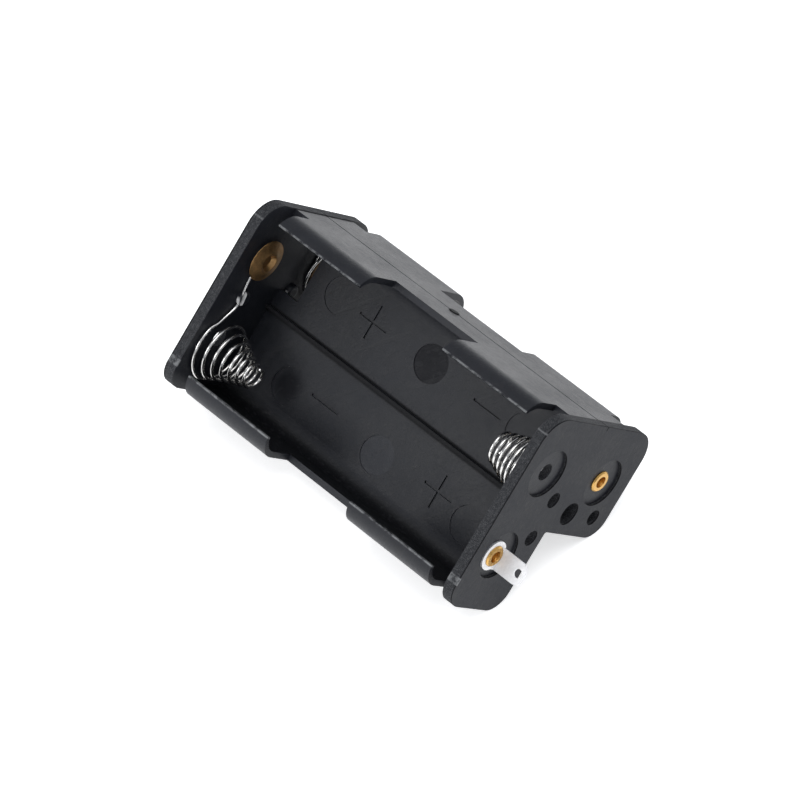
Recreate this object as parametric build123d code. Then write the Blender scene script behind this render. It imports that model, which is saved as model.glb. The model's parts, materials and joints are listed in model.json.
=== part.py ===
from build123d import *
import math
import os

# Holder for three cylindrical cells, in an L: two cells side by side in a front tray and one behind the upper.
# It is drawn square to its own walls and then turned onto the two rounded corners it stands on.
# x runs along the cells, u runs down from the top wall, v runs back from the front rim. Millimetres.

# Cells
CELL_DIAMETER = 14.5
CELL_PLAY = 0.4

# End plates
LENGTH = 61.0
WIDTH = 32.0
DEPTH = 29.7
PLATE_THICKNESS = 1.9
HEAD_WIDTH = 18.1
FOOT_DEPTH = 15.1
TOP_CORNER_RADIUS = 4.3
HEAD_CORNER_RADIUS = 3.4
FOOT_CORNER_RADIUS = 3.5
NOTCH_RADIUS = 0.4

# Walls and floor
WALL = 1.0
FLOOR = 0.9
TOP_INSET = 0.1
BOTTOM_INSET = 0.5
FLOOR_FILLET = 2.8
RIB_OFFSET = 0.2
RIB_WIDTH = 0.5
RIB_HEIGHT = 0.9

# Snap lips on the wall edges, and the cuts between them
LIP_REACH = 3.4
LIP_TIP = 0.5
LIP_INNER_END = 8.6
LIP_OUTER_END = 25.7
TOP_CURL = 2.0
TOP_CREASE = 3.45
BOTTOM_CURL = 3.15
BOTTOM_CREASE = 2.95
REAR_CREASE = 3.15
BENT_REAR_CREASE = 5.3
MIDDLE_CUT = 8.45
BOTTOM_MIDDLE_CUT = 7.6
END_CUT = 6.8

# Openings through the floor beside the end plates
FLOOR_OPENING_LENGTH = 3.85
FLOOR_OPENING_TOP = 3.2
FLOOR_OPENING_BOTTOM = 13.1

# Contact places, from the top, bottom, front and rear edges of the plates
UPPER_SEAT_U = 8.9
LOWER_SEAT_RISE = 8.85
LEFT_SEAT_V = 5.85
RIGHT_SEAT_V = 5.6
REAR_SEAT_SETBACK = 7.4

# Round pockets in the outer faces
POCKET_RADIUS = 3.95
POCKET_DEPTH = 0.5
FRONT_POCKET_V = 6.4
REAR_POCKET_SETBACK = 7.1
LOWER_POCKET_RISE = 9.15

# Holes in the right plate, in u and v from the inner corner of its L, and the bare holes in the pockets
OPEN_HOLE_RADIUS = 1.4
GUIDE_HOLE = (-3.45, 3.45)
GUIDE_HOLE_RADIUS = 1.9
SMALL_HOLES = [(-5.2, -2.9), (1.3, -2.9)]
SMALL_HOLE_RADIUS = 1.3
REAR_HOLE_SETBACK = 4.05

# Studs inside the left plate
STUD_RADIUS = 1.2
STUD_HEIGHT = 0.9
STUD_ROUNDING = 0.5
LINK_STUD_SHIFT = -1.1
LINK_STUD_V = 6.0
REAR_STUD = (13.0, 17.0)
WIRE_SLOT_CLEARANCE = 0.06

# Marks on the floor and the moulding's own traces
MARK_X = 12.0
MARK_SHIFT = 0.35
MARK_UPPER_U = 8.5
MARK_LOWER_RISE = 9.1
MARK_LENGTH = 5.6
MARK_WIDTH = 0.4
MARK_DEPTH = 0.25
EJECTOR_X = 19.0
EJECTOR_RADIUS = 3.0
EJECTOR_DEPTH = 0.12
EJECTOR_UPPER_U = 8.2
EJECTOR_LOWER_RISE = 7.8
GATE_X = -1.3
GATE_RADIUS = 0.8
GATE_HEIGHT = 0.15
PARTING_V = 15.2
PARTING_WIDTH = 0.26
PARTING_DEPTH = 0.12

# Brass contact rivets, hollow from their rolled ends
SHANK_RADIUS = 1.3
SHANK_CLEARANCE = 0.05
FLANGE_RADIUS = 3.4
FLANGE_RIM = 0.15
CROWN_HEIGHT = 0.75
CROWN_RADIUS = 1.65
CROWN_EDGE = 0.2
DIMPLE_DEPTH = 0.6
DIMPLE_RADIUS = 0.9
ROLL_RADIUS = 1.72
ROLL_THICKNESS = 0.35
ROLL_ROUNDING = 0.2
ROLL_CUP_RADIUS = 0.95
ROLL_CUP_DEPTH = 1.1

# Solder lugs
LUG_THICKNESS = 0.3
LUG_RING_RADIUS = 2.45
LUG_TAB_WIDTH = 3.6
LUG_TAB_LENGTH = 4.8
LUG_TAB_OFFSET = 1.85
LUG_TAB_SHIFT = 0.4
LUG_TIP_RADIUS = 1.3
LUG_HOLE_RADIUS = 0.7
LUG_HOLE_SETBACK = 1.2

# Conical contact springs, wound from one round wire
WIRE_RADIUS = 0.275
SEAT_GAP = 0.03
COIL_BASE_RADIUS = 4.8
COIL_TIP_RADIUS = 1.75
COIL_HEIGHT = 8.5
RIGHT_COIL_HEIGHT = 7.2
COIL_TURNS = 6.5
LOOP_SWEEP = 270
BASE_SWEEP = 270
LEFT_COIL_RISE = 7.5
LEFT_COIL_V = 6.6
RIGHT_COIL = (9.7, 6.2)
LINK_BEND_GAP = 7.2
LINK_BEND_V = 5.75
LINK_BEND_RADIUS = 1.0

# Values worked out from the driving dimensions
INNER_END = LENGTH / 2 - PLATE_THICKNESS
FLOOR_FRONT = FOOT_DEPTH - FLOOR
TOP_INNER = TOP_INSET + WALL
BOTTOM_OUTER = WIDTH - BOTTOM_INSET
BOTTOM_INNER = BOTTOM_OUTER - WALL
REAR_WALL_INNER = TOP_INNER + CELL_DIAMETER + CELL_PLAY
REAR_WALL_OUTER = REAR_WALL_INNER + WALL
POCKET_FLOOR = LENGTH / 2 - POCKET_DEPTH
UPPER_LEFT = (UPPER_SEAT_U, LEFT_SEAT_V)
LOWER_RIGHT = (WIDTH - LOWER_SEAT_RISE, RIGHT_SEAT_V)
REAR_SEAT = (UPPER_SEAT_U, DEPTH - REAR_SEAT_SETBACK)
UPPER_POCKET = (UPPER_SEAT_U, FRONT_POCKET_V)
LOWER_POCKET = (WIDTH - LOWER_POCKET_RISE, FRONT_POCKET_V)
REAR_POCKET = (UPPER_SEAT_U, DEPTH - REAR_POCKET_SETBACK)
SHANK_HOLE_RADIUS = SHANK_RADIUS + SHANK_CLEARANCE
WIRE_GAP = 2 * (WIRE_RADIUS + SEAT_GAP)
WIRE_PLANE = INNER_END - SEAT_GAP - WIRE_RADIUS
LOOP_RADIUS = SHANK_RADIUS + SHANK_CLEARANCE + WIRE_RADIUS
LEFT_COIL = (WIDTH - LEFT_COIL_RISE, LEFT_COIL_V)
LINK_BEND = (LEFT_COIL[0] - LINK_BEND_GAP, LINK_BEND_V)
LINK_STUD = ((UPPER_SEAT_U + LEFT_COIL[0]) / 2 + LINK_STUD_SHIFT, LINK_STUD_V)

# The holder rests on one rounded corner of its foot and one of its head. Their common tangent sets its lean.
HEAD_CORNER = (HEAD_WIDTH - HEAD_CORNER_RADIUS, DEPTH - HEAD_CORNER_RADIUS)
FOOT_CORNER = (WIDTH - FOOT_CORNER_RADIUS, FOOT_DEPTH - FOOT_CORNER_RADIUS)
CORNER_GAP = math.dist(HEAD_CORNER, FOOT_CORNER)
CORNER_LEAN = math.atan2(FOOT_CORNER[1] - HEAD_CORNER[1], FOOT_CORNER[0] - HEAD_CORNER[0])
RADIUS_LEAN = math.acos((HEAD_CORNER_RADIUS - FOOT_CORNER_RADIUS) / CORNER_GAP)
REST_ANGLE = math.degrees(CORNER_LEAN + RADIUS_LEAN)


def block(x, u, v):
    """A box between pairs of x, u and v."""
    size = (x[1] - x[0], u[1] - u[0], v[1] - v[0])
    middle = ((x[0] + x[1]) / 2, (u[0] + u[1]) / 2, (v[0] + v[1]) / 2)
    return Pos(*middle) * Box(*size)


def disc(x, u, v, radius):
    """A cylinder along x between a pair of x."""
    middle = ((x[0] + x[1]) / 2, u, v)
    return Pos(*middle) * Rot(0, 90, 0) * Cylinder(radius, x[1] - x[0])


def plate_outline():
    """The L of an end plate, with each corner rounded to its own radius."""
    corners = {
        (0, 0): TOP_CORNER_RADIUS,
        (WIDTH, 0): FOOT_CORNER_RADIUS,
        (WIDTH, FOOT_DEPTH): FOOT_CORNER_RADIUS,
        (HEAD_WIDTH, FOOT_DEPTH): NOTCH_RADIUS,
        (HEAD_WIDTH, DEPTH): HEAD_CORNER_RADIUS,
        (0, DEPTH): TOP_CORNER_RADIUS,
    }
    face = make_face(Polyline(*corners, close=True))
    for corner, radius in corners.items():
        nearest = face.vertices().sort_by_distance((*corner, 0))[0]
        face = fillet(nearest, radius)
    return face


def end_plates():
    """Both end plates."""
    plate = extrude(Plane.YZ * plate_outline(), amount=PLATE_THICKNESS)
    return Pos(INNER_END, 0, 0) * plate + Pos(-LENGTH / 2, 0, 0) * plate


def lip(outer, inward, crease, outward, curl):
    """The section of one snap lip: it leaves the wall at its crease and curls inward over the cell."""
    def point(across, along):
        return (outer + inward * across, crease + outward * along)

    turn = 2 * math.atan2(curl, LIP_REACH)
    tip = point(curl, LIP_REACH)
    inner_tip = point(curl + LIP_TIP * math.cos(turn), LIP_REACH - LIP_TIP * math.sin(turn))
    edges = [
        TangentArc(point(0, 0), tip, tangent=(0, outward)),
        Line(tip, inner_tip),
        TangentArc(point(WALL, 0), inner_tip, tangent=(0, outward)),
        Line(point(0, 0), point(WALL, 0)),
    ]
    return make_face(edges)


def lipped_edge(outer, inward, edge, outward, curl, creases, middle_cut):
    """A wall from the floor to its free edge, cut low at mid length and beside the plates, with two lips.

    creases are how far in from the edge the left and right lips begin to curl.
    """
    start = FOOT_DEPTH - FLOOR / 2
    across = sorted([outer, outer + inward * WALL])
    middle = sorted([start, edge - outward * middle_cut])
    beside = sorted([start, edge - outward * END_CUT])
    wall = block([-INNER_END, INNER_END], across, middle)
    for side, setback in zip((-1, 1), creases):
        crease = edge - outward * setback
        span = sorted([side * LIP_INNER_END, side * LIP_OUTER_END])
        wall += block(sorted([side * LIP_OUTER_END, side * INNER_END]), across, beside)
        wall += block(span, across, sorted([start, crease]))
        section = Plane.YZ * lip(outer, inward, crease, outward, curl)
        wall += Pos(span[0], 0, 0) * extrude(section, amount=span[1] - span[0])
    return wall


def cove(u, inward, v, outward, radius):
    """What a rounding fills in an inner corner between a wall and the floor, or takes off an outer one."""
    centre = (u + inward * radius, v + outward * radius)
    square = block([-INNER_END, INNER_END], sorted([u, centre[0]]), sorted([v, centre[1]]))
    return square - Pos(0, *centre) * Rot(0, 90, 0) * Cylinder(radius, LENGTH)


def floor_openings():
    """The two openings that let the contacts' wires through to the rear bay."""
    cuts = []
    for side in (-1, 1):
        span = sorted([side * INNER_END, side * (INNER_END - FLOOR_OPENING_LENGTH)])
        cuts.append(block(span, [FLOOR_OPENING_TOP, FLOOR_OPENING_BOTTOM], [FLOOR_FRONT, FOOT_DEPTH]))
    return cuts


def floor_marks():
    """The engraved plus and minus of each front channel, and the shallow ejector circles."""
    cuts = []
    depth = [FLOOR_FRONT, FLOOR_FRONT + MARK_DEPTH]
    for u, plus in ((MARK_UPPER_U, -1), (WIDTH - MARK_LOWER_RISE, 1)):
        for side in (-1, 1):
            x = side * MARK_X + MARK_SHIFT
            bar = [u - MARK_WIDTH / 2, u + MARK_WIDTH / 2]
            cuts.append(block([x - MARK_LENGTH / 2, x + MARK_LENGTH / 2], bar, depth))
            if side == plus:
                post = [u - MARK_LENGTH / 2, u + MARK_LENGTH / 2]
                cuts.append(block([x - MARK_WIDTH / 2, x + MARK_WIDTH / 2], post, depth))
    for u in (EJECTOR_UPPER_U, WIDTH - EJECTOR_LOWER_RISE):
        for x in (-EJECTOR_X, 0, EJECTOR_X):
            place = Pos(x + MARK_SHIFT, u, FLOOR_FRONT + EJECTOR_DEPTH / 2)
            cuts.append(place * Cylinder(EJECTOR_RADIUS, EJECTOR_DEPTH))
    return cuts


def plate_cuts():
    """Pockets and holes in the end plates."""
    cuts = []
    holes = [
        (-1, UPPER_LEFT, SHANK_HOLE_RADIUS),
        (-1, REAR_SEAT, SHANK_HOLE_RADIUS),
        (-1, LOWER_POCKET, OPEN_HOLE_RADIUS),
        (1, LOWER_RIGHT, SHANK_HOLE_RADIUS),
        (1, REAR_SEAT, SHANK_HOLE_RADIUS),
        (1, UPPER_POCKET, OPEN_HOLE_RADIUS),
        (1, (HEAD_WIDTH + GUIDE_HOLE[0], FOOT_DEPTH + GUIDE_HOLE[1]), GUIDE_HOLE_RADIUS),
        (1, (HEAD_WIDTH + GUIDE_HOLE[0], DEPTH - REAR_HOLE_SETBACK), SMALL_HOLE_RADIUS),
    ]
    for u, v in SMALL_HOLES:
        holes.append((1, (HEAD_WIDTH + u, FOOT_DEPTH + v), SMALL_HOLE_RADIUS))
    for side, place, radius in holes:
        cuts.append(disc(sorted([side * INNER_END, side * LENGTH / 2]), *place, radius))
    for side in (-1, 1):
        for place in (UPPER_POCKET, LOWER_POCKET, REAR_POCKET):
            cuts.append(disc(sorted([side * POCKET_FLOOR, side * LENGTH / 2]), *place, POCKET_RADIUS))
    return cuts


def studs():
    """The round studs inside the left plate. The link wire lies in a slot across the first."""
    made = []
    for u, v in (LINK_STUD, REAR_STUD):
        top = -INNER_END + STUD_HEIGHT
        stud = disc([-INNER_END, top], u, v, STUD_RADIUS)
        rim = stud.edges().filter_by(GeomType.CIRCLE).sort_by(Axis.X)[-1]
        made.append(fillet(rim, STUD_ROUNDING))
    return made


def wire_slot():
    """The slot that holds the link wire, along the run of the wire from its loop to its bend."""
    start = loop_exit()
    run = Vector(LINK_BEND[0] - start[0], LINK_BEND[1] - start[1])
    width = 2 * (WIRE_RADIUS + WIRE_SLOT_CLEARANCE)
    slot = Box(STUD_HEIGHT, run.length, width)
    middle = ((start[0] + LINK_BEND[0]) / 2, (start[1] + LINK_BEND[1]) / 2)
    turn = math.degrees(math.atan2(run.Y, run.X))
    return Pos(-INNER_END + STUD_HEIGHT / 2, *middle) * Rot(turn, 0, 0) * slot


def housing():
    """The moulded housing: plates, walls, floor, lips, rib and studs in one piece."""
    body = end_plates()
    body += block([-INNER_END, INNER_END], [TOP_INSET, BOTTOM_OUTER], [FLOOR_FRONT, FOOT_DEPTH])
    top = (TOP_CREASE, TOP_CREASE)
    bottom = (BOTTOM_CREASE, BOTTOM_CREASE)
    rear = (REAR_CREASE, REAR_CREASE)
    bent = (REAR_CREASE, BENT_REAR_CREASE)
    body += lipped_edge(TOP_INSET, 1, 0, -1, TOP_CURL, top, MIDDLE_CUT)
    body += lipped_edge(BOTTOM_OUTER, -1, 0, -1, BOTTOM_CURL, bottom, BOTTOM_MIDDLE_CUT)
    body += lipped_edge(TOP_INSET, 1, DEPTH, 1, TOP_CURL, bent, MIDDLE_CUT)
    body += lipped_edge(REAR_WALL_OUTER, -1, DEPTH, 1, TOP_CURL, rear, MIDDLE_CUT)
    body += cove(TOP_INNER, 1, FLOOR_FRONT, -1, FLOOR_FILLET)
    body += cove(BOTTOM_INNER, -1, FLOOR_FRONT, -1, FLOOR_FILLET)
    body += cove(TOP_INNER, 1, FOOT_DEPTH, 1, FLOOR_FILLET)
    body += cove(REAR_WALL_INNER, -1, FOOT_DEPTH, 1, FLOOR_FILLET)
    body -= cove(BOTTOM_OUTER, -1, FOOT_DEPTH, -1, FOOT_CORNER_RADIUS)
    rib_start = (WIDTH - RIB_WIDTH) / 2 + RIB_OFFSET
    rib = [rib_start, rib_start + RIB_WIDTH]
    body += block([-INNER_END, INNER_END], rib, [FLOOR_FRONT - RIB_HEIGHT, FLOOR_FRONT])
    gate = Rot(90, 0, 0) * Cylinder(GATE_RADIUS, GATE_HEIGHT)
    body += Pos(GATE_X, TOP_INSET - GATE_HEIGHT / 2, PARTING_V) * gate
    for stud in studs():
        body += stud
    parting = block(
        [-INNER_END, INNER_END],
        [TOP_INSET, TOP_INSET + PARTING_DEPTH],
        [PARTING_V - PARTING_WIDTH / 2, PARTING_V + PARTING_WIDTH / 2],
    )
    for cut in floor_openings() + floor_marks() + plate_cuts() + [parting, wire_slot()]:
        body -= cut
    return body


def contact(seat, side, inner_gap, outer_gap):
    """A brass contact rivet: a domed flange with a dimple inside, a shank, and a rolled end outside.

    inner_gap is what its flange holds down inside, outer_gap what its rolled end holds down outside.
    """
    face = INNER_END - inner_gap
    crown = face - CROWN_HEIGHT
    back = POCKET_FLOOR + outer_gap
    head = back + ROLL_THICKNESS
    outline = Polyline(
        (crown + DIMPLE_DEPTH, 0),
        (crown + DIMPLE_DEPTH, DIMPLE_RADIUS),
        (crown, CROWN_RADIUS - CROWN_EDGE),
        (crown, CROWN_RADIUS),
        (face - FLANGE_RIM, FLANGE_RADIUS),
        (face, FLANGE_RADIUS),
        (face, SHANK_RADIUS),
        (back, SHANK_RADIUS),
        (back, ROLL_RADIUS),
        (head - ROLL_ROUNDING, ROLL_RADIUS),
        (head, ROLL_RADIUS - ROLL_ROUNDING),
        (head, ROLL_CUP_RADIUS),
        (head - ROLL_CUP_DEPTH, ROLL_CUP_RADIUS - ROLL_ROUNDING),
        (head - ROLL_CUP_DEPTH, 0),
        close=True,
    )
    turned = revolve(make_face(outline), Axis.X)
    if side < 0:
        turned = mirror(turned, Plane.YZ)
    return Pos(0, *seat) * turned


def solder_lug(seat, side):
    """A tinned lug: its ring lies in the pocket under the rivet, and its tab stands out square to the plate."""
    u, v = seat
    base = POCKET_FLOOR
    top = base + LUG_THICKNESS
    front = v + LUG_TAB_OFFSET
    back = front + LUG_THICKNESS
    middle = u + LUG_TAB_SHIFT
    half = LUG_TAB_WIDTH / 2
    tip = LENGTH / 2 + LUG_TAB_LENGTH
    ring = disc([base, top], u, v, LUG_RING_RADIUS)
    ring -= block([base, top], [u - LUG_RING_RADIUS, u + LUG_RING_RADIUS], [front, v + LUG_RING_RADIUS])
    bend = make_face([
        Polyline((top, back), (top, front), (top, v), (base, v), (base, front)),
        TangentArc((base, front), (top, back), tangent=(0, 1)),
    ])
    lug = ring + Pos(0, middle + half, 0) * extrude(Plane.XZ * bend, amount=LUG_TAB_WIDTH)
    tab = block([top, tip], [middle - half, middle + half], [front, back])
    ends = tab.edges().filter_by(Axis.Z).sort_by(Axis.X)[-2:]
    lug += fillet(ends, LUG_TIP_RADIUS)
    lug -= disc([base, top], u, v, SHANK_HOLE_RADIUS)
    hole = Cylinder(LUG_HOLE_RADIUS, LUG_THICKNESS)
    lug -= Pos(tip - LUG_HOLE_SETBACK, middle, (front + back) / 2) * hole
    return lug if side > 0 else mirror(lug, Plane.YZ)


def bearing(centre, point):
    """The direction of a point from a centre, in degrees from +u towards +v."""
    return math.degrees(math.atan2(point[1] - centre[1], point[0] - centre[0]))


def on_circle(centre, radius, angle):
    """The point of a circle at an angle in degrees."""
    turn = math.radians(angle)
    return (centre[0] + radius * math.cos(turn), centre[1] + radius * math.sin(turn))


def tangent_point(outside, centre, radius, turn):
    """Where a line from a point outside touches a circle, on the side given by turn, 1 or -1."""
    away = math.dist(outside, centre)
    lean = math.degrees(math.asin(radius / away))
    heading = bearing(outside, centre) + turn * lean
    return on_circle(outside, math.sqrt(away ** 2 - radius ** 2), heading)


def loop_exit():
    """Where the left link wire leaves its loop round the upper front rivet."""
    return tangent_point(LINK_BEND, UPPER_LEFT, LOOP_RADIUS, 1)


def conical_helix(centre, side, start, turn, height):
    """The path of a conical coil off one plate, from its base circle in towards its tip.

    start is the bearing it starts at, and turn is 1 if it winds from +u towards +v.
    """
    lean = math.degrees(math.atan2(COIL_BASE_RADIUS - COIL_TIP_RADIUS, height))
    helix = Helix(
        pitch=height / COIL_TURNS,
        height=height,
        radius=COIL_BASE_RADIUS,
        cone_angle=-lean,
        lefthand=turn * side > 0,
    )
    upright = Plane(origin=(side * WIRE_PLANE, *centre), x_dir=(0, 1, 0), z_dir=(-side, 0, 0))
    placed = upright * helix
    begins = placed @ 0
    found = bearing(centre, (begins.Y, begins.Z))
    return placed.rotate(Axis((0, *centre), (1, 0, 0)), start - found)


def round_wire(flat, side, helix):
    """Round wire along edges drawn in u and v on a plate's inner face, and on along a helix."""
    face = Plane(origin=(side * WIRE_PLANE, 0, 0), x_dir=(0, 1, 0), z_dir=(1, 0, 0))
    path = Wire([*[face.from_local_coords(edge) for edge in flat], *helix.edges()])
    section = Plane(origin=path @ 0, z_dir=path % 0) * Circle(WIRE_RADIUS)
    return sweep(section, path=path)


def spring_front_left():
    """The lower front coil and the link wire to the upper front rivet, one wire."""
    leaves = loop_exit()
    joins = tangent_point(LINK_BEND, LEFT_COIL, COIL_BASE_RADIUS, -1)
    link = FilletPolyline(leaves, LINK_BEND, joins, radius=LINK_BEND_RADIUS)
    loop = CenterArc(UPPER_LEFT, LOOP_RADIUS, bearing(UPPER_LEFT, leaves), -LOOP_SWEEP)
    start = bearing(LEFT_COIL, joins)
    base = CenterArc(LEFT_COIL, COIL_BASE_RADIUS, start, BASE_SWEEP)
    helix = conical_helix(LEFT_COIL, -1, start + BASE_SWEEP, 1, COIL_HEIGHT)
    return round_wire([loop, *link.edges(), base], -1, helix)


def spring_front_right():
    """The upper front coil and the link wire through the floor to the rear rivet, one wire."""
    away = math.dist(REAR_SEAT, RIGHT_COIL)
    lean = math.degrees(math.acos((LOOP_RADIUS - COIL_BASE_RADIUS) / away))
    side = bearing(REAR_SEAT, RIGHT_COIL) + lean
    leaves = on_circle(REAR_SEAT, LOOP_RADIUS, side)
    joins = on_circle(RIGHT_COIL, COIL_BASE_RADIUS, side)
    loop = CenterArc(REAR_SEAT, LOOP_RADIUS, side, LOOP_SWEEP)
    base = CenterArc(RIGHT_COIL, COIL_BASE_RADIUS, side, -BASE_SWEEP)
    helix = conical_helix(RIGHT_COIL, 1, side - BASE_SWEEP, -1, RIGHT_COIL_HEIGHT)
    return round_wire([loop, Line(leaves, joins), base], 1, helix)


def spring_rear():
    """The rear coil, whose base spirals in to a loop round its own rivet."""
    middle = on_circle(REAR_SEAT, (LOOP_RADIUS - COIL_BASE_RADIUS) / 2, 0)
    loop = CenterArc(REAR_SEAT, LOOP_RADIUS, 0, -BASE_SWEEP)
    spiral = CenterArc(middle, (LOOP_RADIUS + COIL_BASE_RADIUS) / 2, 0, 180)
    base = CenterArc(REAR_SEAT, COIL_BASE_RADIUS, 180, BASE_SWEEP)
    helix = conical_helix(REAR_SEAT, -1, 180 + BASE_SWEEP, 1, COIL_HEIGHT)
    return round_wire([loop, spiral, base], -1, helix)


parts = {
    "housing": housing(),
    "contact_upper_left": contact(UPPER_LEFT, -1, WIRE_GAP, 0),
    "contact_lower_right": contact(LOWER_RIGHT, 1, 0, LUG_THICKNESS),
    "contact_rear_right": contact(REAR_SEAT, 1, WIRE_GAP, 0),
    "rivet_rear_left": contact(REAR_SEAT, -1, WIRE_GAP, LUG_THICKNESS),
    "solder_lug_right": solder_lug(LOWER_RIGHT, 1),
    "solder_lug_left": solder_lug(REAR_SEAT, -1),
    "spring_front_left": spring_front_left(),
    "spring_front_right": spring_front_right(),
    "spring_rear": spring_rear(),
}

# Turned onto its corners, and set with the middle of its box at the origin
turned = {name: Rot(-90 - REST_ANGLE, 0, 0) * shape for name, shape in parts.items()}
box = Compound(list(turned.values())).bounding_box()
centre = box.center()
stand = Pos(-centre.X, -centre.Y, -box.min.Z)

os.makedirs("parts", exist_ok=True)
for name, shape in turned.items():
    placed = stand * shape
    placed.label = name
    export_step(placed, f"parts/{name}.step")
    print(name, placed.is_valid, round(placed.volume, 2), len(placed.solids()))
print(box.size, centre, box.min.Z)
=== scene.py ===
# %% [markdown]
# This is a black moulded holder for three cylindrical cells. Two lie side by side in a front tray, and one
# lies behind. The CAD model gives every piece its size and place. This script leaves those alone. It gives
# each piece the surface that the real one has, winds the wire springs finely, and sets light and camera.

# %% Load the holder
import json
import math

import bmesh
import bpy
from mathutils import Matrix, Vector


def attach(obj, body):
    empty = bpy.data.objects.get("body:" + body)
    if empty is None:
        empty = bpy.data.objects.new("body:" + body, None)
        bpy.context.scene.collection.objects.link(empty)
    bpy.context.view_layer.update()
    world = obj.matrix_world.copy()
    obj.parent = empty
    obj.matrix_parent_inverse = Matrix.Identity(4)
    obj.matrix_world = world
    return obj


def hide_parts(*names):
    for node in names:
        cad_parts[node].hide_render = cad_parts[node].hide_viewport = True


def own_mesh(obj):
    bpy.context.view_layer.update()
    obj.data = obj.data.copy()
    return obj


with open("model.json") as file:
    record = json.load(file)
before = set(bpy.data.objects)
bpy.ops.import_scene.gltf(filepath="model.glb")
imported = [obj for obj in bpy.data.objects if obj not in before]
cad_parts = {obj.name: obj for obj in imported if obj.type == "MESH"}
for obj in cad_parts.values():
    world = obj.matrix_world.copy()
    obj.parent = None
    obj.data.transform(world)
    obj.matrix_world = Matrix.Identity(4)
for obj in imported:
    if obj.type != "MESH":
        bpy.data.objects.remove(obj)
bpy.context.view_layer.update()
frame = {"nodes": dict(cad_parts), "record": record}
nodes = frame["nodes"]
print("CAD pieces:", ", ".join(sorted(nodes)))

# %% [markdown]
# The holder leans back on its corners, so its own walls are not square to the floor. It is easier to think
# along the holder: x along the cells, u down from the top wall, v back from the front rim. The flat mount
# on the top wall tells how far the holder leans, and where those axes start.

# %% Axes of the holder
MM = 0.001
TOP_MOUNT = Vector((8.0, 0.1, 11.0))
top = next(m for m in frame["record"]["mounts"] if m["name"] == "top_face")
ALONG = Vector((1, 0, 0))
DOWN = -Vector(top["axis"])
BACK = ALONG.cross(DOWN)
START = Vector(top["pos_m"]) - MM * (TOP_MOUNT.x * ALONG + TOP_MOUNT.y * DOWN + TOP_MOUNT.z * BACK)


def place(x, u, v):
    """A point of the holder, from millimetres along its own axes to metres."""
    return START + MM * (x * ALONG + u * DOWN + v * BACK)


print("the holder leans", round(math.degrees(math.atan2(-DOWN.y, -DOWN.z)), 2), "degrees")

# %% [markdown]
# Materials are built from nodes in code, so a few small helpers keep each step short. They add a node with
# its inputs, do sums, and turn a range of values into a soft mask from 0 to 1.

# %% Node helpers
def put(tree, kind, inputs=None, **settings):
    """A new node. Its inputs may be values or the sockets of other nodes."""
    node = tree.nodes.new(kind)
    for name, value in settings.items():
        setattr(node, name, value)
    for name, value in (inputs or {}).items():
        if isinstance(value, bpy.types.NodeSocket):
            tree.links.new(value, node.inputs[name])
        else:
            node.inputs[name].default_value = value
    return node


def calc(tree, operation, *values):
    """The result of a sum on one to three values."""
    return put(tree, "ShaderNodeMath", dict(enumerate(values)), operation=operation).outputs[0]


def both(tree, first, second):
    """A mask of the places where two masks meet. The second may be a plain share of the first."""
    return calc(tree, "MULTIPLY", first, second)


def either(tree, first, second):
    """A mask of the places where at least one of two masks is."""
    return calc(tree, "MAXIMUM", first, second)


def add_up(tree, start, *effects):
    """A start value plus each mask times its weight."""
    total = start
    for mask, weight in effects:
        total = calc(tree, "MULTIPLY_ADD", mask, weight, total)
    return total


def fade(tree, value, low, high):
    """A soft mask that is 0 at low and 1 at high."""
    inputs = {"Value": value, "From Min": low, "From Max": high}
    return put(tree, "ShaderNodeMapRange", inputs, interpolation_type="SMOOTHSTEP").outputs[0]


def within(tree, value, low, high, soft):
    """A soft mask that is 1 between low and high."""
    rises = fade(tree, value, low - soft, low + soft)
    return both(tree, rises, fade(tree, value, high + soft, high - soft))


def along_axis(tree, vector, axis):
    """How far a vector points along an axis."""
    return put(tree, "ShaderNodeVectorMath", {0: vector, 1: axis}, operation="DOT_PRODUCT").outputs["Value"]


def tint(tree, factor, first, second):
    """A mix of two colours."""
    mix = put(tree, "ShaderNodeMix", data_type="RGBA")
    for socket, value in ((mix.inputs[0], factor), (mix.inputs[6], first), (mix.inputs[7], second)):
        if isinstance(value, bpy.types.NodeSocket):
            tree.links.new(value, socket)
        elif isinstance(value, tuple):
            socket.default_value = (*value, 1)
        else:
            socket.default_value = value
    return mix.outputs[2]


def shade(colour, times):
    """A lighter or darker tone of a colour."""
    return tuple(times * c for c in colour)


print("node helpers ready")

# %% [markdown]
# Effects that several materials share become node groups, with number inputs for what differs. Each
# material then brings its own colours, roughness and bump to its Principled shader.

# %% Group and material helpers
def group(name, inputs, outputs):
    """An empty node group with number inputs and outputs, and its two end nodes."""
    tree = bpy.data.node_groups.new(name, "ShaderNodeTree")
    for label, value in inputs.items():
        socket = tree.interface.new_socket(label, in_out="INPUT", socket_type="NodeSocketFloat")
        socket.default_value = value
    for label in outputs:
        tree.interface.new_socket(label, in_out="OUTPUT", socket_type="NodeSocketFloat")
    return tree, put(tree, "NodeGroupInput"), put(tree, "NodeGroupOutput")


def use(tree, made, inputs=None):
    """The outputs of one use of a node group in a material, with its own values."""
    node = put(tree, "ShaderNodeGroup", node_tree=made)
    for name, value in (inputs or {}).items():
        node.inputs[name].default_value = value
    return node.outputs


def material(name):
    """A new material, its node tree and its Principled shader."""
    made = bpy.data.materials.new(name)
    made.use_nodes = True
    return made, made.node_tree, made.node_tree.nodes["Principled BSDF"]


def surface(tree, shader, colour, rough, height, strength, depth_mm):
    """Joins a colour, a roughness and a bump to a shader."""
    bump = put(tree, "ShaderNodeBump", {"Height": height, "Strength": strength, "Distance": depth_mm * MM})
    tree.links.new(colour, shader.inputs["Base Color"])
    tree.links.new(rough, shader.inputs["Roughness"])
    tree.links.new(bump.outputs[0], shader.inputs["Normal"])


print("group and material helpers ready")

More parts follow.
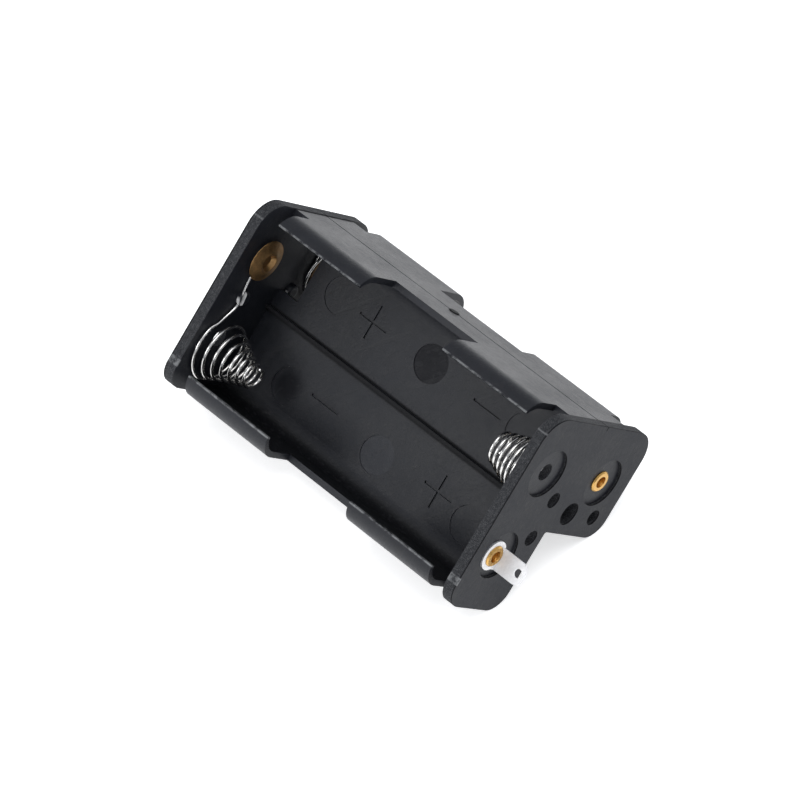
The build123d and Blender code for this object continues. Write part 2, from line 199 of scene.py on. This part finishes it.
# %% [markdown]
# The first group gives the holder's own axes in millimetres at any point of any surface. Masks made from
# them stay on the part from every side, because they use only the object's coordinates.

# %% Group: holder axes
axes, _, axes_out = group("holder_axes", {}, ["x", "u", "v"])
spot = put(axes, "ShaderNodeTexCoord").outputs["Object"]
from_start = put(axes, "ShaderNodeVectorMath", {0: spot, 1: START}, operation="SUBTRACT").outputs[0]
for label, axis in (("x", ALONG), ("u", DOWN), ("v", BACK)):
    axes.links.new(along_axis(axes, from_start, axis / MM), axes_out.inputs[label])
print("group", axes.name)

# %% [markdown]
# Nothing real has one even tone. Mottle mixes a coarse and a fine noise, for stains, flow marks and uneven
# shine. Noise keeps near the middle of its range, so it is stretched to fill 0 to 1 before the contrast is
# set.

# %% Group: mottle
FINER = 6.3
STRETCH, SHIFT = 2.6, -0.8
MIDDLE = 0.5

mottle, mottle_in, mottle_out = group("mottle", {"Per mm": 1, "Fine share": 0.4, "Contrast": 1}, ["Value"])
spot = put(mottle, "ShaderNodeTexCoord").outputs["Object"]
size = calc(mottle, "DIVIDE", mottle_in.outputs["Per mm"], MM)
coarse = put(mottle, "ShaderNodeTexNoise", {"Vector": spot, "Scale": size, "Detail": 3.0}).outputs[0]
fine_size = calc(mottle, "MULTIPLY", size, FINER)
fine = put(mottle, "ShaderNodeTexNoise", {"Vector": spot, "Scale": fine_size, "Detail": 4.0}).outputs[0]
blend = put(mottle, "ShaderNodeMix", {0: mottle_in.outputs["Fine share"], 2: coarse, 3: fine}).outputs[0]
centred = calc(mottle, "SUBTRACT", calc(mottle, "MULTIPLY_ADD", blend, STRETCH, SHIFT), MIDDLE)
strong = calc(mottle, "MULTIPLY_ADD", centred, mottle_in.outputs["Contrast"], MIDDLE)
mottle.links.new(put(mottle, "ShaderNodeClamp", {"Value": strong}).outputs[0], mottle_out.inputs["Value"])
print("group", mottle.name)

# %% [markdown]
# Handling leaves hair-thin scratches in many directions. Each set here is a noise stretched far along one
# line, cut off so that only its crests are left. Sets at different angles give crossing marks.

# %% Group: scratches
SLENDERNESS = 26.0
SCRATCH_TURNS = ((0.4, 0.9, 0.3), (1.9, -0.5, 1.2), (-0.7, 0.2, 2.3))
CREST = 0.72
SHARPNESS = 0.03

scratches, scratches_in, scratches_out = group("scratches", {"Per mm": 1, "Share": 0.1}, ["Mask"])
spot = put(scratches, "ShaderNodeTexCoord").outputs["Object"]
size = calc(scratches, "DIVIDE", scratches_in.outputs["Per mm"], MM)
level = calc(scratches, "SUBTRACT", CREST, scratches_in.outputs["Share"])
full = calc(scratches, "ADD", level, SHARPNESS)
marks = 0
for turn in SCRATCH_TURNS:
    turned = put(scratches, "ShaderNodeMapping", {"Vector": spot, "Rotation": turn}).outputs[0]
    scale = {"Vector": turned, "Scale": (1 / SLENDERNESS, 1, 1)}
    stretched = put(scratches, "ShaderNodeMapping", scale).outputs[0]
    noise = {"Vector": stretched, "Scale": size, "Detail": 1.0}
    crest = put(scratches, "ShaderNodeTexNoise", noise).outputs[0]
    cut = {"Value": crest, "From Min": level, "From Max": full}
    marks = either(scratches, marks, put(scratches, "ShaderNodeMapRange", cut).outputs[0])
scratches.links.new(marks, scratches_out.inputs["Mask"])
print("group", scratches.name)

# %% [markdown]
# The housing is one black moulding, but its surface is not the same everywhere. The broad faces are smooth
# with flow marks. The rims of the end plates were blasted in the mould, so they are rough and greyer. The
# lower wall's inner face gets painted shade. Masks from the holder's axes tell these places apart.

# %% Moulded plastic: places
PLATE_INNER = 28.6
PLATE_OUTER = 30.5
TRAY_FLOOR = (13.0, 14.6)
LOWER_WALL = (27.6, 31.0)
TOP_WALL = (-0.2, 0.35)

plastic, tree, shader = material("moulded_plastic")
here = use(tree, axes)
reach = calc(tree, "ABSOLUTE", here["x"])
normal = put(tree, "ShaderNodeNewGeometry").outputs["Normal"]
faces_x = calc(tree, "ABSOLUTE", along_axis(tree, normal, ALONG))
faces_u = along_axis(tree, normal, DOWN)
faces_v = along_axis(tree, normal, BACK)
faces_up = fade(tree, faces_u, -0.5, -0.9)
faces_front = fade(tree, faces_v, -0.5, -0.9)

on_plate = fade(tree, reach, PLATE_INNER - 0.02, PLATE_INNER + 0.04)
rim = both(tree, fade(tree, faces_x, 0.6, 0.3), on_plate)
at_outer_face = fade(tree, reach, PLATE_OUTER - 0.06, PLATE_OUTER - 0.02)
outer_face = both(tree, at_outer_face, fade(tree, faces_x, 0.6, 0.9))
floor_depth = within(tree, here["v"], *TRAY_FLOOR, 0.15)
tray_floor = both(tree, floor_depth, faces_front)
# Painted shade: the lower wall's inner face is darkened as the shade that falls there.
painted_shade_lower_wall = both(tree, fade(tree, faces_u, -0.2, -0.8), within(tree, here["u"], *LOWER_WALL, 0.3))
top_wall = both(tree, faces_up, within(tree, here["u"], *TOP_WALL, 0.1))
print("places on the plastic: rim, outer face, tray floor, lower wall, top wall")

# %% [markdown]
# Small marks of the moulding come next. Ejector pins pushed the part out of its mould and left round
# traces: two recessed ones are painted dark as painted shade, and a third is paler. The two halves of the
# mould left a parting line, the gate left a spot on the top wall, and flash stayed on the lips' tips. The
# two studs on the left plate get a painted highlight on their sides that face the light.

# %% Moulded plastic: marks of the mould
EJECTOR_RADIUS = 3.0
MIDDLE_RECESS = (0.35, 8.2)
MIDDLE_DISC = (0.35, 24.2)
LEFT_RECESS = (-19.05, 24.3)
LEFT_RECESS_RADIUS = 2.3
LEFT_RECESS_SHARE = 0.8
GATE = (-1.3, 15.2)
GATE_RADIUS = 0.95
PARTING = (15.08, 15.32)
LIP_TIP = (-0.5, 0.36)
UPPER_CURL = (1.9, 3.0)
LOWER_CURL = (27.4, 28.6)
RAGGED_BY = 0.12
FLASH_SHARE = 1.15
STUDS = ((15.6, 6.0), (13.0, 17.0))
STUD_REACH = 1.35
STUD_LENGTH = (-28.45, -27.5)
STUD_LIT_SIDE = 0.6 * DOWN - 0.8 * BACK


def disc(first, second, centre, radius, soft):
    """A round mask about a centre, in two of the holder's axes."""
    across = calc(tree, "SUBTRACT", first, centre[0])
    along = calc(tree, "SUBTRACT", second, centre[1])
    squares = calc(tree, "MULTIPLY_ADD", across, across, calc(tree, "MULTIPLY", along, along))
    return fade(tree, calc(tree, "SQRT", squares), radius + soft, radius - soft)


middle_recess = disc(here["x"], here["u"], MIDDLE_RECESS, EJECTOR_RADIUS, 0.1)
left_recess = disc(here["x"], here["u"], LEFT_RECESS, LEFT_RECESS_RADIUS, 1.2)
left_recess = both(tree, left_recess, LEFT_RECESS_SHARE)
# Painted shade: the two recessed ejector traces are darkened as the shade inside them.
painted_recess_shade = both(tree, tray_floor, either(tree, middle_recess, left_recess))
pale_spot = both(tree, tray_floor, disc(here["x"], here["u"], MIDDLE_DISC, EJECTOR_RADIUS, 0.15))
at_surface = within(tree, here["u"], -0.3, 0.3, 0.1)
# The gate spot is a real mark; its dark tone also stands in for its painted shadow.
gate = both(tree, disc(here["x"], here["v"], GATE, GATE_RADIUS, 0.15), at_surface)
parting = both(tree, within(tree, here["v"], *PARTING, 0.05), within(tree, here["u"], -0.3, 0.6, 0.1))

ragged = use(tree, mottle, {"Per mm": 0.9, "Fine share": 0.3, "Contrast": 2.0})[0]
lip_tip = within(tree, add_up(tree, here["v"], (ragged, RAGGED_BY)), *LIP_TIP, 0.06)
curled = either(tree, within(tree, here["u"], *UPPER_CURL, 0.1), within(tree, here["u"], *LOWER_CURL, 0.1))
flash = both(tree, both(tree, lip_tip, curled), both(tree, ragged, FLASH_SHARE))

near_stud = 0
for centre in STUDS:
    near_stud = either(tree, near_stud, disc(here["u"], here["v"], centre, STUD_REACH, 0.05))
near_stud = both(tree, near_stud, within(tree, here["x"], *STUD_LENGTH, 0.08))
# Painted highlight: the studs' sides that face the light are painted nearly white.
painted_stud_highlights = both(tree, near_stud, fade(tree, along_axis(tree, normal, STUD_LIT_SIDE), 0.7, 0.97))
print("marks: ejector spots, gate, parting line, flash, stud rims")

# %% [markdown]
# Now the masks meet in the shader. Colour, roughness and bump all change together, as they do on a real
# moulding. The tones are very dark, because black plastic sends back only one or two hundredths of the
# light it gets. Colour is built in layers, each a mask, its share and its tone. Painted shade darkens the
# lower wall, the recessed traces and one mask of dark lines: the rims' outer edges, the sides of the
# floor's rib, the seam of the plates and top wall, and the parting line's groove. The gate spot is a real
# mark, darkened also as its painted shadow. The studs get a painted highlight.

# %% Moulded plastic: shader
SMOOTH_BLACK = (0.0092, 0.0102, 0.0135)
# Painted shade tone, for the lower wall and the dark lines.
PAINTED_SHADE_BLACK = (0.0018, 0.002, 0.0026)
RECESS_SHADE_BLACK = (0.0032, 0.0036, 0.0062)
# Painted shade tone, for the recessed ejector traces.
BLASTED_GREY = (0.0165, 0.0172, 0.02)
SPECK_GREY = (0.11, 0.114, 0.12)
# Painted highlight tone, for the studs' lit sides.
STUD_HIGHLIGHT_WHITE = (0.75, 0.75, 0.75)
FLASH_GREY = (0.17, 0.175, 0.18)
PLASTIC_ROUGHNESS = 0.36
PLASTIC_SPECULAR = 0.28
RECESS_SPECULAR = -0.12
# The next three bands get painted shade: beside the floor's rib, at the rims' outer edge, and in the plate
# seam.
RIB_SHADE_SIDES = (15.65, 16.9)
EDGE_SHADE_BAND = (0.3, 0.12)
SEAM_SHADE_BAND = (0.3, -0.02)

flow = use(tree, mottle, {"Per mm": 0.16, "Fine share": 0.35, "Contrast": 1.0})[0]
grain = use(tree, mottle, {"Per mm": 1.3, "Fine share": 0.7, "Contrast": 1.6})[0]
peppered = use(tree, mottle, {"Per mm": 2.4, "Fine share": 0.8, "Contrast": 2.0})[0]
specks = fade(tree, peppered, 0.62, 0.95)
hairlines = use(tree, scratches, {"Per mm": 1.1, "Share": 0.07})[0]

# Painted shade lines: the rims' outer edge, beside the rib, the plate seam, the parting groove, and the
# gate spot's shadow.
painted_edge_shade = both(tree, rim, fade(tree, reach, PLATE_OUTER - EDGE_SHADE_BAND[0], PLATE_OUTER - EDGE_SHADE_BAND[1]))
painted_seam_shade = both(tree, top_wall, within(tree, reach, PLATE_INNER - SEAM_SHADE_BAND[0], PLATE_INNER - SEAM_SHADE_BAND[1], 0.06))
painted_rib_shade = both(tree, tray_floor, within(tree, here["u"], *RIB_SHADE_SIDES, 0.2))
painted_shade_lines = either(tree, both(tree, painted_edge_shade, 0.8), both(tree, painted_rib_shade, 0.8))
for line in (painted_seam_shade, parting, gate):
    painted_shade_lines = either(tree, painted_shade_lines, line)

blasted = tint(tree, both(tree, specks, 0.7), BLASTED_GREY, SPECK_GREY)
colour = tint(tree, flow, SMOOTH_BLACK, shade(SMOOTH_BLACK, 1.5))
for mask, share, tone in (
    (painted_shade_lower_wall, 0.85, PAINTED_SHADE_BLACK),
    (painted_recess_shade, 1, RECESS_SHADE_BLACK),
    (pale_spot, 0.6, shade(SMOOTH_BLACK, 2.2)),
    (hairlines, 0.35, BLASTED_GREY),
    (rim, 1, blasted),
    (painted_shade_lines, 1, PAINTED_SHADE_BLACK),
    (flash, 1, FLASH_GREY),
    (painted_stud_highlights, 0.9, STUD_HIGHLIGHT_WHITE),
):
    colour = tint(tree, both(tree, mask, share), colour, tone)

uneven = add_up(tree, PLASTIC_ROUGHNESS, (flow, 0.1), (grain, 0.08), (rim, 0.35), (outer_face, 0.12))
rough = add_up(tree, uneven, (top_wall, -0.04), (painted_shade_lines, 0.3), (near_stud, -0.12))
height = add_up(tree, both(tree, specks, rim), (grain, 0.18), (hairlines, -0.2), (flow, 0.5))
surface(tree, shader, colour, rough, height, 0.35, 0.12)
specular = add_up(tree, PLASTIC_SPECULAR, (painted_recess_shade, RECESS_SPECULAR))
tree.links.new(specular, shader.inputs["Specular IOR Level"])
print("material", plastic.name)

# %% [markdown]
# The contacts are pressed brass that has dulled inside, where cells rub it, and stays bright on the rolled
# ends. The holder's x axis tells the dull inner flange from the bright outer roll. The rivet behind the
# rear coil is painted dark, as painted shade of the rear bay. The photo shows no bright brass behind the
# rear coil, so the rivet there is given a dark tarnish, which is a guess.

# %% Brass
DULL_BRASS = (0.31, 0.185, 0.08)
BRIGHT_BRASS = (0.7, 0.42, 0.13)
# Painted shade tone, for the rivet in the rear bay.
REAR_SHADE_BRASS = (0.05, 0.035, 0.022)
BRASS_ROUGHNESS = 0.36

brass, tree, shader = material("brass")
here = use(tree, axes)
outside = fade(tree, calc(tree, "ABSOLUTE", here["x"]), 29.0, 30.0)
# Painted shade: the rivet behind the rear coil is darkened as the shade of the rear bay.
painted_rear_shade = both(tree, fade(tree, here["v"], 15.0, 17.0), fade(tree, here["x"], -20.0, -27.0))
stain = use(tree, mottle, {"Per mm": 0.8, "Fine share": 0.5, "Contrast": 1.5})[0]
rubbed = use(tree, scratches, {"Per mm": 2.2, "Share": 0.12})[0]
dull = tint(tree, stain, DULL_BRASS, shade(DULL_BRASS, 1.5))
bright = tint(tree, stain, shade(BRIGHT_BRASS, 0.8), BRIGHT_BRASS)
colour = tint(tree, both(tree, painted_rear_shade, 0.85), tint(tree, outside, dull, bright), REAR_SHADE_BRASS)
rough = add_up(tree, BRASS_ROUGHNESS, (stain, 0.16), (outside, -0.17), (rubbed, 0.1))
surface(tree, shader, colour, rough, add_up(tree, stain, (rubbed, -0.4)), 0.35, 0.05)
shader.inputs["Metallic"].default_value = 1
print("material", brass.name)

# %% [markdown]
# The springs are bright nickel over steel. Drawing the wire leaves fine lines, and the plating is a little
# uneven.

# %% Nickel wire
NICKEL = (0.78, 0.77, 0.75)
TARNISH = (0.3, 0.29, 0.28)
NICKEL_ROUGHNESS = 0.09

nickel, tree, shader = material("spring_wire")
haze = use(tree, mottle, {"Per mm": 1.2, "Fine share": 0.5, "Contrast": 1.4})[0]
drawn = use(tree, scratches, {"Per mm": 3.0, "Share": 0.1})[0]
tarnish = fade(tree, haze, 0.55, 1.0)
colour = tint(tree, both(tree, tarnish, 0.6), NICKEL, TARNISH)
rough = add_up(tree, NICKEL_ROUGHNESS, (drawn, 0.1), (tarnish, 0.2))
surface(tree, shader, colour, rough, drawn, 0.2, 0.02)
shader.inputs["Metallic"].default_value = 1
print("material", nickel.name)

# %% [markdown]
# The solder lugs are tinned, which looks almost white and matt. Tin is a metal, but its dull skin scatters
# light, so the material is only partly metallic, with a high roughness and faint rolling marks.

# %% Tinned metal
TIN = (0.93, 0.93, 0.94)
TIN_STAIN = (0.78, 0.78, 0.79)
TIN_ROUGHNESS = 0.46

tin, tree, shader = material("tinned_metal")
cloud = use(tree, mottle, {"Per mm": 0.5, "Fine share": 0.5, "Contrast": 1.2})[0]
rolled = use(tree, scratches, {"Per mm": 1.6, "Share": 0.12})[0]
colour = tint(tree, both(tree, rolled, 0.3), tint(tree, both(tree, cloud, 0.4), TIN, TIN_STAIN), TIN_STAIN)
rough = add_up(tree, TIN_ROUGHNESS, (cloud, 0.14))
surface(tree, shader, colour, rough, add_up(tree, cloud, (rolled, -0.5)), 0.3, 0.05)
shader.inputs["Metallic"].default_value = 0.2
print("material", tin.name)

# %% [markdown]
# Each CAD piece takes the finish of its kind, which is the first word of its name.

# %% Materials on the CAD pieces
FINISHES = {"housing": plastic, "contact": brass, "rivet": brass, "solder": tin, "spring": nickel}
for name, node in nodes.items():
    node.data.materials.clear()
    node.data.materials.append(FINISHES[name.split("_")[0]])
print("finishes on", len(nodes), "pieces")

# %% [markdown]
# A real coil is not an even helix. Its first turns lie wide against the plate and its last ones are close
# and small. So each spring's centre line is worked out here as points, and a round section is carried along
# them. Carrying the section from point to point without extra turning keeps the wire from twisting.

# %% Wire
WIRE_RADIUS = 0.265 * MM
WIRE_SIDES = 14


def wire(name, path):
    """A closed round wire along a path of points in metres."""
    steps = [(b - a).normalized() for a, b in zip(path, path[1:])]
    corners = [(a + b).normalized() for a, b in zip(steps, steps[1:])]
    headings = [steps[0], *corners, steps[-1]]
    turns = [2 * math.pi * k / WIRE_SIDES for k in range(WIRE_SIDES)]
    side = headings[0].orthogonal().normalized()
    mesh = bmesh.new()
    rings = []
    for point, heading in zip(path, headings):
        side = (side - heading * side.dot(heading)).normalized()
        other = heading.cross(side)
        around = [point + WIRE_RADIUS * (math.cos(t) * side + math.sin(t) * other) for t in turns]
        rings.append([mesh.verts.new(p) for p in around])
    for ring, following in zip(rings, rings[1:]):
        for k in range(WIRE_SIDES):
            corner = (k + 1) % WIRE_SIDES
            mesh.faces.new((ring[k], ring[corner], following[corner], following[k]))
    mesh.faces.new(reversed(rings[0]))
    mesh.faces.new(rings[-1])
    data = bpy.data.meshes.new(name)
    mesh.to_mesh(data)
    mesh.free()
    data.shade_smooth()
    data.materials.append(nickel)
    made = bpy.data.objects.new(name, data)
    bpy.context.scene.collection.objects.link(made)
    return made


print("wire", 2 * WIRE_RADIUS / MM, "mm across")

# %% [markdown]
# A coil is described by its axis and by how its radius and height change along its turns. Both follow a
# power of the way along: a shrink above 1 narrows the first turns fastest, and a rise above 1 keeps them
# low. Bearings are in degrees from u towards v, and a side of -1 is the left plate, 1 the right one.

# %% Coil path
STEPS_PER_TURN = 40
SEATED = PLATE_INNER - 0.305
LOOP_RADIUS = 1.625


def coil(side, centre, start, turns, radii, height, shrink, rise):
    """Points of a conical coil off a plate, from its base to its tip. Negative turns wind the other way."""
    points = []
    count = round(abs(turns) * STEPS_PER_TURN)
    for step in range(count + 1):
        way = step / count
        angle = math.radians(start + 360 * turns * way)
        radius = radii[1] + (radii[0] - radii[1]) * (1 - way) ** shrink
        u = centre[0] + radius * math.cos(angle)
        v = centre[1] + radius * math.sin(angle)
        points.append((side * (SEATED - height * way ** rise), u, v))
    return points


def loop(side, centre, start, sweep):
    """Points of a loop under a rivet's flange, on the plate's inner face."""
    turns = sweep / 360
    return coil(side, centre, start, turns, (LOOP_RADIUS, LOOP_RADIUS), 0, 1, 1)


print("coil path ready")

# %% [markdown]
# Pressing a spring pushes its tip towards its plate, and its turns come closer. Here each wire is hung on
# the holder's body as it is wound, and the CAD node of its spring is hidden.


def finish_spring(name, path):
    """Puts the wire of one spring in place of its CAD node, on the holder's body."""
    made = wire(name + "_wire", [place(*p) for p in path])
    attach(made, "holder")
    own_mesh(made)
    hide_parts(name)
    print(made.name, len(made.data.polygons), "faces")


# %% [markdown]
# The front left spring is one wire. It starts as a loop under the upper contact, runs across the stud that
# holds it, bends, and becomes the widest turn of the lower coil.

# %% Front left spring
UPPER_LEFT = (8.9, 5.85)
LEFT_COIL = (24.45, 6.7)
LEFT_TURNS = 6.9
LEFT_RADII = (5.3, 1.6)
LEFT_HEIGHT = 8.6
LINK = ((12.2, 4.85), (14.0, 5.15), (16.3, 5.6), (16.9, 5.66), (17.4, 5.55), (18.2, 5.1), (20.4, 3.6))

path = loop(-1, UPPER_LEFT, 10, -270) + [(-SEATED, u, v) for u, v in LINK]
path += coil(-1, LEFT_COIL, -126, LEFT_TURNS, LEFT_RADII, LEFT_HEIGHT, 1.45, 0.92)
finish_spring("spring_front_left", path)

# %% [markdown]
# The front right spring's base lies against the right plate. Its wire runs through the floor to the rear
# contact.

# %% Front right spring
REAR_SEAT = (8.9, 22.3)
RIGHT_COIL = (9.8, 5.9)
RIGHT_TURNS = -5.9
RIGHT_RADII = (4.7, 2.2)
RIGHT_HEIGHT = 6.9

path = loop(1, REAR_SEAT, 285, -270)
path += coil(1, RIGHT_COIL, 15, RIGHT_TURNS, RIGHT_RADII, RIGHT_HEIGHT, 0.95, 1.05)
finish_spring("spring_front_right", path)

# %% [markdown]
# The rear spring is held by its own rivet. Its base spirals out from a loop round the shank.

# %% Rear spring
REAR_TURNS = -7.2
REAR_RADII = (4.8, 1.6)
REAR_HEIGHT = 8.75

path = loop(-1, REAR_SEAT, 270, -270)
for step in range(1, STEPS_PER_TURN):
    way = step / STEPS_PER_TURN
    spread = LOOP_RADIUS + (REAR_RADII[0] - LOOP_RADIUS) * way
    angle = math.radians(-180 * way)
    path.append((-SEATED, REAR_SEAT[0] + spread * math.cos(angle), REAR_SEAT[1] + spread * math.sin(angle)))
path += coil(-1, REAR_SEAT, 180, REAR_TURNS, REAR_RADII, REAR_HEIGHT, 1.3, 1.2)
finish_spring("spring_rear", path)

# %% [markdown]
# A pale floor stands in for the white sweep of a small studio. It belongs to the scene and not to the
# holder. A little glow of its own makes up for the light that a larger studio would throw back onto it.

# %% Floor
FLOOR_WIDTH = 6
FLOOR_GLOW = 0.62

bpy.ops.mesh.primitive_plane_add(size=FLOOR_WIDTH, location=(0, 0, 0))
floor = bpy.context.object
floor.name = "floor"
paper, tree, shader = material("paper")
shader.inputs["Base Color"].default_value = (0.9, 0.9, 0.9, 1)
shader.inputs["Roughness"].default_value = 0.7
shader.inputs["Emission Color"].default_value = (1, 1, 1, 1)
shader.inputs["Emission Strength"].default_value = FLOOR_GLOW
floor.data.materials.append(paper)
print("floor", tuple(round(d, 2) for d in floor.dimensions))

# %% [markdown]
# The bright wire needs something dark to reflect, or it looks like chalk. So the room is pale behind and
# above the holder and dimmer in front of it, where a photographer stands. Two soft lamps give the
# highlights.

# %% Room
DIM_SIDE = (0.42, 0.44, 0.48)
PALE_SIDE = (0.74, 0.76, 0.8)
ROOM_STRENGTH = 0.75
TOWARDS_PALE = Vector((-0.25, 0.75, 0.6)).normalized()

room = bpy.data.worlds.new("room")
bpy.context.scene.world = room
room.use_nodes = True
tree = room.node_tree
direction = put(tree, "ShaderNodeTexCoord").outputs["Generated"]
paleness = fade(tree, along_axis(tree, direction, TOWARDS_PALE), -0.9, 0.3)
tree.links.new(tint(tree, paleness, DIM_SIDE, PALE_SIDE), tree.nodes["Background"].inputs["Color"])
tree.nodes["Background"].inputs["Strength"].default_value = ROOM_STRENGTH
print("room", room.name)

# %% [markdown]
# Both lamps are square and look at the holder. The large one hangs high above it. The small one stands low
# in front and puts highlights on the coils and on the lips.

# %% Lamps
def softbox(name, location, width, watts):
    """A square area lamp that looks at the holder."""
    lamp = bpy.data.lights.new(name, "AREA")
    lamp.size = width
    lamp.energy = watts
    made = bpy.data.objects.new(name, lamp)
    bpy.context.scene.collection.objects.link(made)
    made.location = location
    made.rotation_mode = "QUATERNION"
    made.rotation_quaternion = (-made.location).to_track_quat("-Z", "Y")


softbox("overhead", (0.1, -0.1, 0.9), 0.6, 3)
softbox("card", (-0.09, -0.26, 0.16), 0.14, 0.3)

# %% [markdown]
# The camera stands nearly 90 cm away with a long lens. Its place comes from the straight edges of the
# holder, which fix the direction, the distance and the slight roll.

# %% Camera
AZIMUTH, ELEVATION, ROLL = math.radians(45.430), math.radians(47.706), math.radians(0.560)
STAND = (0.414457, -0.409514, 0.652309)

lens = bpy.data.cameras.new("camera")
lens.sensor_width = 36
lens.lens = 264.61
lens.clip_end = 10
camera = bpy.data.objects.new("camera", lens)
bpy.context.scene.collection.objects.link(camera)
bpy.context.scene.camera = camera
turn = Matrix.Rotation(AZIMUTH, 4, "Z")
tilt = Matrix.Rotation(math.pi / 2 - ELEVATION, 4, "X")
camera.matrix_world = Matrix.Translation(STAND) @ turn @ tilt @ Matrix.Rotation(ROLL, 4, "Z")
bpy.context.scene.view_settings.view_transform = "Standard"
print("camera", round(camera.matrix_world.translation.length, 3), "m away")
